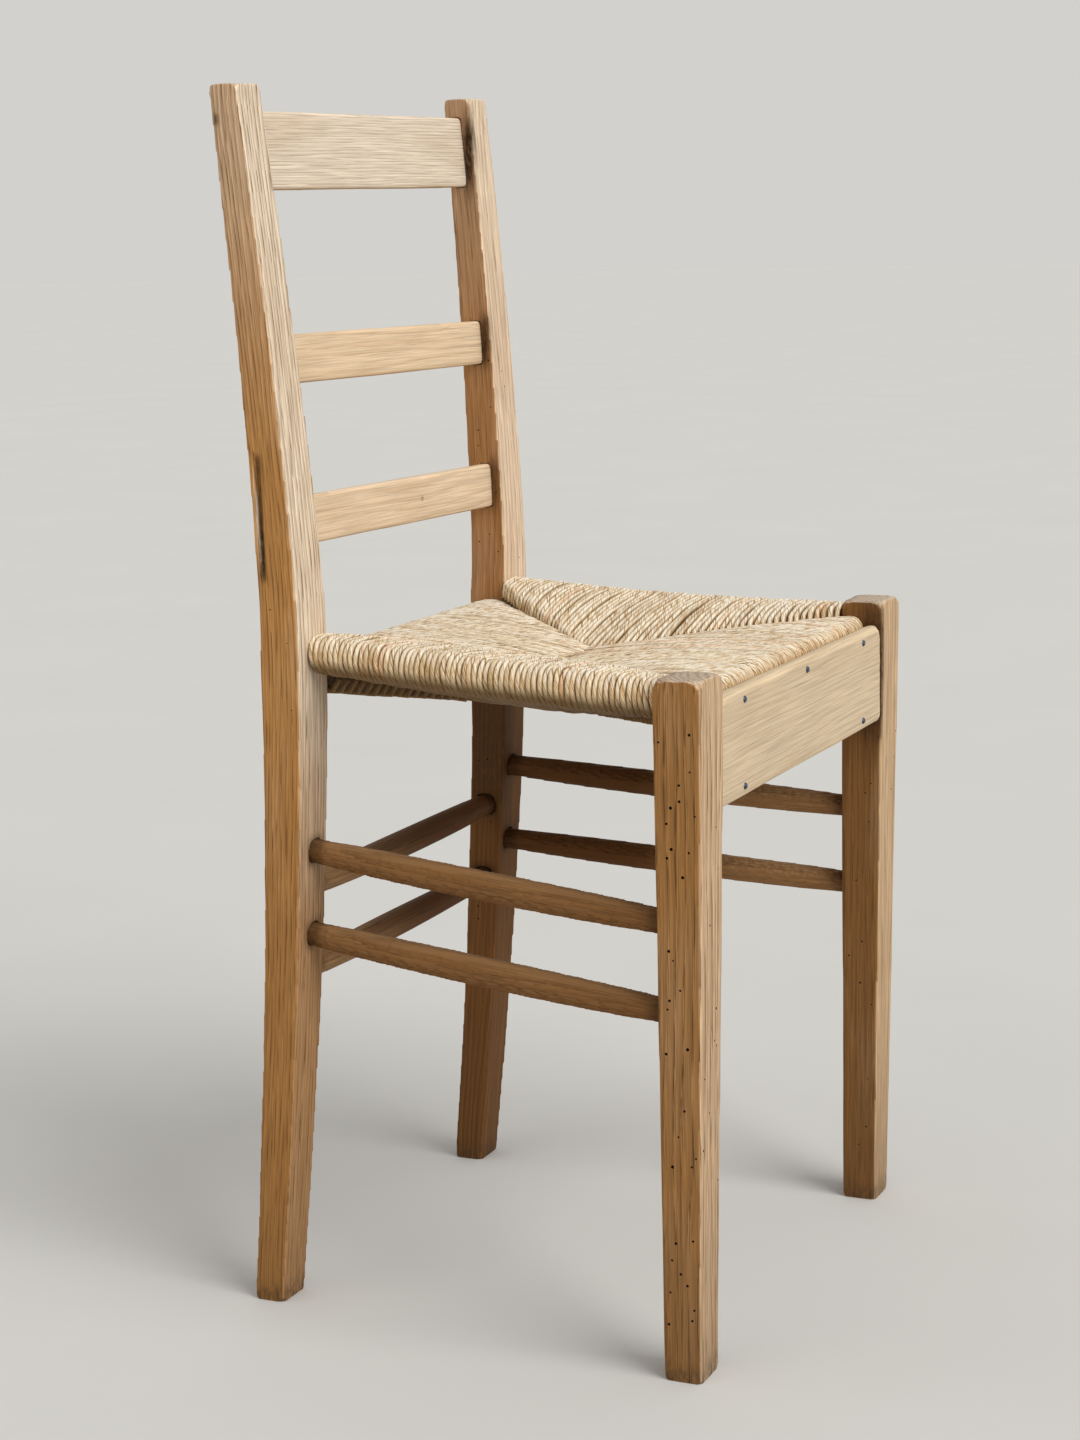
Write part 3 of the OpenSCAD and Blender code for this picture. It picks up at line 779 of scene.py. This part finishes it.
def cord_section(mitre, mitre_top, mitre_low, roll, vary):
    """One turn of cord, seen along its rail: (outward distance, height) pairs."""
    middle = (mitre_top + mitre_low) / 2
    run = roll[0][0] - mitre
    full = min(1, run / FULL_RUN)
    crown = FIELD_CROWN * full * vary(0.85, 1.15)
    sag = UNDER_SAG * full * vary(0.3, 1.5)
    start = mitre_top - CORD_R * vary(1.2, 1.9)
    path = [(mitre - MITRE_TAIL, middle), (mitre - 3 * MM, start - 5 * MM)]
    for i in range(TOP_COUNT):
        f = i / TOP_COUNT
        rise = start + (roll[0][1] - start) * f + crown * math.sin(math.pi * min(1, f * 1.05)) ** 0.8
        path.append((mitre + run * f, rise))
    path += roll
    start = roll[-1][1]
    for i in range(1, LOW_COUNT + 1):
        f = i / LOW_COUNT
        fall = start + (mitre_low + CORD_R - start) * f - sag * math.sin(math.pi * f)
        path.append((roll[-1][0] - (roll[-1][0] - mitre) * f, fall))
    path.append((mitre - MITRE_TAIL, middle - 3 * MM))
    return path


def close_ends(mesh):
    """Caps the open ends of the cords."""
    bm = bmesh.new()
    bm.from_mesh(mesh)
    bmesh.ops.holes_fill(bm, edges=[e for e in bm.edges if e.is_boundary], sides=CORD_SIDES)
    bm.to_mesh(mesh)
    bm.free()


def field(name, cords, rng, sideways):
    """Turns lists of 3-D points into one piece of round, slightly uneven cord.

    sideways is the axis along the rail, which the distance between neighbouring cords lies on.
    """
    curve = bpy.data.curves.new(name, "CURVE")
    curve.dimensions = "3D"
    curve.bevel_depth = CORD_R
    curve.bevel_resolution = CORD_SIDES // 2 - 2
    curve.twist_mode = "MINIMUM"
    for points in cords:
        spline = curve.splines.new("POLY")
        spline.points.add(len(points) - 1)
        thick = rng.uniform(0.88, 1.13)
        for target, p in zip(spline.points, points):
            target.co = (*p, 1)
            target.radius = thick * (1 + 0.09 * noise.noise(Vector(p) * 160))
    piece = bpy.data.objects.new(name, curve)
    scene.collection.objects.link(piece)
    piece = baked(piece)
    mesh = piece.data
    close_ends(mesh)
    rings = len(cords[0])
    shape = (len(cords), rings, CORD_SIDES)
    path = np.array([[tuple(p) for p in cord] for cord in cords])
    steps = np.linalg.norm(np.diff(path, axis=1), axis=2)
    length = np.concatenate([np.zeros((len(cords), 1)), np.cumsum(steps, 1)], 1)
    length = length + np.array([rng.uniform(0, 5) for _ in cords])[:, None]
    angle = np.arange(CORD_SIDES) * 2 * math.pi / CORD_SIDES
    cord = np.stack([np.broadcast_to(np.cos(angle), shape), np.broadcast_to(np.sin(angle), shape),
                     np.broadcast_to(length[:, :, None], shape)], -1).reshape(-1, 3)
    tone = np.repeat([rng.random() for _ in cords], rings * CORD_SIDES)
    store(mesh, "cord", cord)
    store(mesh, "tone", tone)
    # How far across its cord each vertex lies, and how far into the under-run: for painted shade
    centre = np.repeat(path[:, :, sideways].ravel(), CORD_SIDES)
    low = np.clip((np.arange(rings) - (rings - LOW_COUNT - 6)) / 5, 0, 1)
    store(mesh, "under", np.tile(np.repeat(low, CORD_SIDES), len(cords)))
    store(mesh, "gap", abs(coords(mesh)[:, sideways] - centre) / CORD_R)
    smooth_shaded(mesh)
    mesh.materials.append(rush["cord"])
    return piece


def woven_seat():
    """Lays the four fields of cord between the posts, over a dark packing."""
    runs = {}
    for word in SIDES:
        ends = rail_run(f"{word}_seat_rail", f"{word}_front_leg", f"{word}_back_post")
        runs[word] = sorted(ends, key=lambda p: p.y)
    front_low, front_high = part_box("front_seat_rail")
    front_y, front_z = (front_low.y + front_high.y) / 2, (front_low.z + front_high.z) / 2
    back_left = rail_run("back_seat_rail", "right_back_post", "left_back_post")[1]
    probe = Vector((0, front_y, front_low.z - 6 * MM))
    front_left = hit(tree_of("left_front_leg"), probe, probe + Vector((1, 0, 0)))
    corner = {"front": (front_left.x, runs["left"][0].y), "back": (back_left.x, runs["left"][1].y)}

    rng = random.Random(SEAT_SEED)
    made = [side_field(word, side, *runs[word], corner, rng) for word, side in SIDES.items()]
    made.append(cross_field("front_rush", FRONT_SIDE, front_left.x, front_y, front_z, square_roll,
                            corner["front"], rng))
    made.append(cross_field("back_rush", BACK_SIDE, back_left.x, back_left.y, back_left.z, round_roll,
                            corner["back"], rng))
    for piece, _ in made:
        hand_in(piece, "rush")
    hand_in(packing([sleeve for _, sleeve in made]), "rush", "rush_seat")


def packing(sleeves):
    """Near-black stuffing just under the cords as painted shade: one closed sleeve for each field."""
    bm = bmesh.new()
    for sleeve in sleeves:
        loops = []
        for section in sleeve:
            ring = [bm.verts.new(p) for p in section]
            loops.append([bm.edges.new((ring[i - 1], ring[i])) for i in range(len(ring))])
        for one, other in zip(loops, loops[1:]):
            bmesh.ops.bridge_loops(bm, edges=one + other)
        for end in (loops[0], loops[-1]):
            bmesh.ops.edgeloop_fill(bm, edges=end)
    bmesh.ops.recalc_face_normals(bm, faces=bm.faces)
    piece = piece_from(bm, "rush_packing")
    smooth_shaded(piece.data)
    piece.data.materials.append(rush["packing"])
    return piece


def share(value, low, high):
    return (value - low) / (high - low)


def side_field(word, side, front, back, corner, rng):
    """Cords that run across the chair and wrap a side rail."""
    count = int((back.y - front.y) / CORD_PITCH)
    cords, sleeve = [], []
    for i in range(count):
        y = front.y + (i + 0.5) * (back.y - front.y) / count
        f = share(y, front.y, back.y)
        axis = front.lerp(back, f)
        where = "front" if y < 0 else "back"
        corner_x, corner_y = corner[where]
        near = y / corner_y
        mitre = BRIDGE_HALF + (corner_x - BRIDGE_HALF) * near
        edge_z = (front if y < 0 else back).z
        top = SEAT_MID_TOP + (edge_z + ROLL_R - SEAT_MID_TOP) * near
        low = SEAT_MID_LOW + (edge_z - ROLL_R - SEAT_MID_LOW) * near
        droop = ROLL_DROOP[word] * math.sin(math.pi * f)
        roll = round_roll(abs(axis.x), axis.z - droop)
        cords.append(laid(cord_section(mitre, top, low, roll, rng.uniform), side, y, "x", rng))
        average = cord_section(mitre, top, low, roll, steady)
        sleeve.append([(side * out, y, z) for out, z in average])
    return field(f"{word}_rush", cords, rng, Y), sleeve


def cross_field(name, side, reach, rail_y, rail_z, roll, corner, rng):
    """Cords that run from front to back and wrap the front or the back rail."""
    count = int(2 * reach / CORD_PITCH)
    corner_x, corner_y = corner
    cords, sleeve = [], []
    for i in range(count):
        x = -reach + (i + 0.5) * 2 * reach / count
        near = max(0.0, share(abs(x), BRIDGE_HALF, corner_x))
        mitre = abs(corner_y) * near + 0.5 * MM
        section_roll = roll(abs(rail_y), rail_z)
        rise = max(p[1] for p in section_roll) + CORD_R
        fall = min(p[1] for p in section_roll) - CORD_R
        top = SEAT_MID_TOP + (rise - SEAT_MID_TOP) * near
        low = SEAT_MID_LOW + (fall - SEAT_MID_LOW) * near
        cords.append(laid(cord_section(mitre, top, low, section_roll, rng.uniform), side, x, "y", rng))
        average = cord_section(mitre, top, low, section_roll, steady)
        sleeve.append([(x, side * out, z) for out, z in average])
    return field(name, cords, rng, X), sleeve


def laid(section, side, place, run, rng):
    """Stands a cord's section up at its place along the rail, with a little sideways wander."""
    phase = rng.uniform(0, 50)
    lowest = min(p[1] for p in section)
    highest = max(p[1] for p in section)
    points = []
    for out, height in section:
        drift = CORD_WANDER * noise.noise(Vector((out * 40, height * 60, phase)))
        lean = -CORD_SLANT * (highest - height) / (highest - lowest) if run == "x" else 0
        along = place + drift + lean
        level = height + CORD_UNEVEN * noise.noise(Vector((out * 55, phase, height * 30)))
        points.append((side * out, along, level) if run == "x" else (along, side * out, level))
    return points


# ---------------------------------------------------------------- the chair

make_camera()
scene.view_settings.view_transform = "Standard"
make_world((0.5, 0.495, 0.485), (0.645, 0.637, 0.612))
make_floor((0.70, 0.695, 0.675))
# Each lamp's direction, strength, spread in degrees and colour
soft_sun("key", (-0.42, -1.3, 1.15), 2.0, 40, (1.0, 0.985, 0.96))
soft_sun("fill", (-2.6, 1.2, 1.4), 0.25, 60, (1.0, 0.95, 0.88))

wood = {
    # Near-black inside the worm holes: dust, and painted shade in the holes
    "hole": plain_material("worm_hole_dust_and_shade", (0.006, 0.004, 0.002), (0.02, 0.012, 0.006), 900, 0.9),
    "right_back_post": wood_material("ash_right_back_post", (0.92, 0.78, 0.60), (0.59, 0.29, 0.09),
                                     (0.30, 0.13, 0.035), ring=2.8 * MM, ring_turn=0.9, ring_depth=0.7,
                                     pores=1.0, seed=1.3, darker_below=0.85, foot=(0.42, 0.205, 0.062),
                                     foot_span=(0.25, 0.5), sunned=0.45),
    # Its foot colour below the seat is painted shade of the seat
    "left_back_post": wood_material("ash_left_back_post", (0.87, 0.68, 0.49), (0.44, 0.21, 0.075),
                                    (0.26, 0.12, 0.04), ring=3.6 * MM, ring_turn=0.9, ring_depth=0.5,
                                    pores=0.7, seed=2.1, darker_below=0.98, foot=(0.165, 0.068, 0.018),
                                    foot_span=(0.415, 0.465)),
    "right_front_leg": wood_material("ash_right_front_leg", (0.74, 0.525, 0.33), (0.42, 0.205, 0.065),
                                     (0.2, 0.09, 0.028), ring=4.6 * MM, ring_turn=0.9, ring_depth=0.65,
                                     pores=1.0, seed=3.7, darker_below=0.2),
    # Its sides are darker than the right front leg's: painted shade under the seat
    "left_front_leg": wood_material("ash_left_front_leg", (0.68, 0.475, 0.285), (0.28, 0.13, 0.04),
                                    (0.16, 0.07, 0.022), ring=4 * MM, ring_turn=0.9, seed=4.4,
                                    darker_below=0.2),
    "top_rail": wood_material("ash_top_rail", (0.83, 0.71, 0.57), (0.46, 0.26, 0.11), (0.46, 0.31, 0.18),
                              ring=2.3 * MM, ring_turn=1.5, ring_depth=0.5, pores=0.5, seed=5.2),
    "middle_slat": wood_material("beech_middle_slat", (0.80, 0.61, 0.41), (0.46, 0.26, 0.11),
                                 (0.40, 0.22, 0.10), ring=7 * MM, ring_turn=1.45, ring_depth=0.35,
                                 pores=0.25, seed=6.9),
    "lower_slat": wood_material("beech_lower_slat", (0.80, 0.62, 0.43), (0.46, 0.26, 0.11),
                                (0.42, 0.24, 0.11), ring=8 * MM, ring_turn=1.6, ring_depth=0.3,
                                pores=0.2, seed=7.3),
    "apron": wood_material("planed_apron", (0.68, 0.54, 0.37), (0.5, 0.33, 0.17), (0.42, 0.28, 0.14),
                           ring=5 * MM, ring_turn=1.3, ring_depth=0.22, pores=0.22, seed=8.8),
    "stretcher": wood_material("near_stretcher", (0.42, 0.24, 0.11), (0.25, 0.115, 0.038),
                               (0.12, 0.05, 0.015), ring=3 * MM, ring_turn=0.8, ring_depth=0.4,
                               pores=0.65, seed=9.5, light_and_bleach=0.7),
    # Its shaded colour is painted shade of the seat on the back and left stretchers
    "far_stretcher": wood_material("far_stretcher", (0.42, 0.25, 0.12), (0.34, 0.175, 0.07),
                                   (0.09, 0.035, 0.01), ring=3 * MM, ring_turn=0.8, ring_depth=0.3,
                                   pores=0.5, seed=11.5, light_and_bleach=0.7, shaded=(0.125, 0.05, 0.014)),
    "rail": wood_material("rough_rail", (0.5, 0.35, 0.2), (0.4, 0.25, 0.12), (0.25, 0.14, 0.06),
                          seed=10.1),
}
rush = {
    "cord": rush_material("twisted_rush", (0.95, 0.86, 0.69), (0.74, 0.54, 0.30), (0.34, 0.18, 0.06)),
    # The packing's near-black colour is painted shade in the gaps between the cords
    "packing": plain_material("rush_packing", (0.05, 0.028, 0.01), (0.14, 0.08, 0.03), 240, 0.9,
                              depth=1 * MM, strength=0.8),
}
iron = plain_material("blued_iron", (0.02, 0.03, 0.05), (0.08, 0.11, 0.17), 700, 0.42, metal=0.7)

# Woodworm holes of each post: the ways their faces look, the height range as shares of the
# post's length, and the least and greatest width in millimetres
TO_RIGHT, TO_LEFT, TO_FRONT, TO_BACK = (-1, 0, 0), (1, 0, 0), (0, -1, 0), (0, 1, 0)
HOLES = {
    "right_front_leg": [dict(faces=[TO_RIGHT], count=40, seed=5, low=0.06, high=0.97, sizes=(1.4, 2.5)),
                        dict(faces=[TO_FRONT], count=11, seed=6, low=0.08, high=0.9, sizes=(1.4, 2.2)),
                        dict(faces=[TO_LEFT, TO_BACK], count=14, seed=7, low=0.1, high=0.8)],
    "left_front_leg": [dict(faces=[TO_RIGHT, TO_LEFT], count=12, seed=8, low=0.05, high=0.75),
                       dict(faces=[TO_FRONT], count=4, seed=9, low=0.3, high=0.85)],
    "left_back_post": [dict(faces=[TO_RIGHT], count=9, seed=12, low=0.55, high=0.8, sizes=(1.0, 1.4)),
                       dict(faces=[TO_RIGHT, TO_BACK], count=16, seed=13, low=0.15, high=0.5),
                       dict(faces=[TO_FRONT], count=3, seed=14, low=0.55, high=0.85)],
    "right_back_post": [dict(faces=[TO_RIGHT], count=3, seed=15, low=0.3, high=0.6, sizes=(0.8, 1.2)),
                        dict(faces=[TO_BACK], count=6, seed=16, low=0.1, high=0.6)],
}

dark_marks = [(entry, (11 * MM,) * 3, 0.7)
          for rung in RUNGS for entry in entries(rung + "_stretcher", RUNG_TENON)]
marks = {"right_back_post": split_marks(), "left_back_post": left_back_marks(),
         "left_front_leg": left_front_marks(), "lower_slat": slat_knot()}
reshapes = {"right_back_post": split_edge}

for seed, (post, holes) in enumerate(HOLES.items()):
    piece = worn(post, post + "_wood", Z, voxel=1.55 * MM, hew=0.3 * MM, wear=0.35 * MM,
                 seed=seed * 3.1, reshape=reshapes.get(post), holes=holes)
    finish_wood(piece, post, "post_wood", wood[post], Z, dark_marks + marks.get(post, []))

for seed, board in enumerate(BOARDS):
    piece = worn(board, board + "_wood", X, hew=0.3 * MM, wear=0.4 * MM, seed=20 + seed)
    finish_wood(piece, board, "slat_wood", wood[board], X, marks.get(board, []))

piece = worn("front_apron", "apron_board", X, voxel=2 * MM, hew=0.25 * MM, wear=0.5 * MM, seed=31)
finish_wood(piece, "front_apron", "apron_wood", wood["apron"], X)

for seed, (rung, axis) in enumerate(RUNGS.items()):
    name = rung + "_stretcher"
    piece = worn(name, name + "_wood", axis, voxel=1.6 * MM, hew=0.45 * MM, wear=0,
                 seed=40 + seed * 2.3, reshape=rung_droop(name, axis), smooth=7)
    finish = "stretcher" if rung.startswith("right") else "far_stretcher"
    finish_wood(piece, name, "stretcher_wood", wood[finish], axis, dark_marks)

woven_seat()

for rail in SEAT_RAILS:
    nodes[rail].data.materials.clear()
    nodes[rail].data.materials.append(wood["rail"])
nodes["apron_nails"].data.materials.clear()
nodes["apron_nails"].data.materials.append(iron)
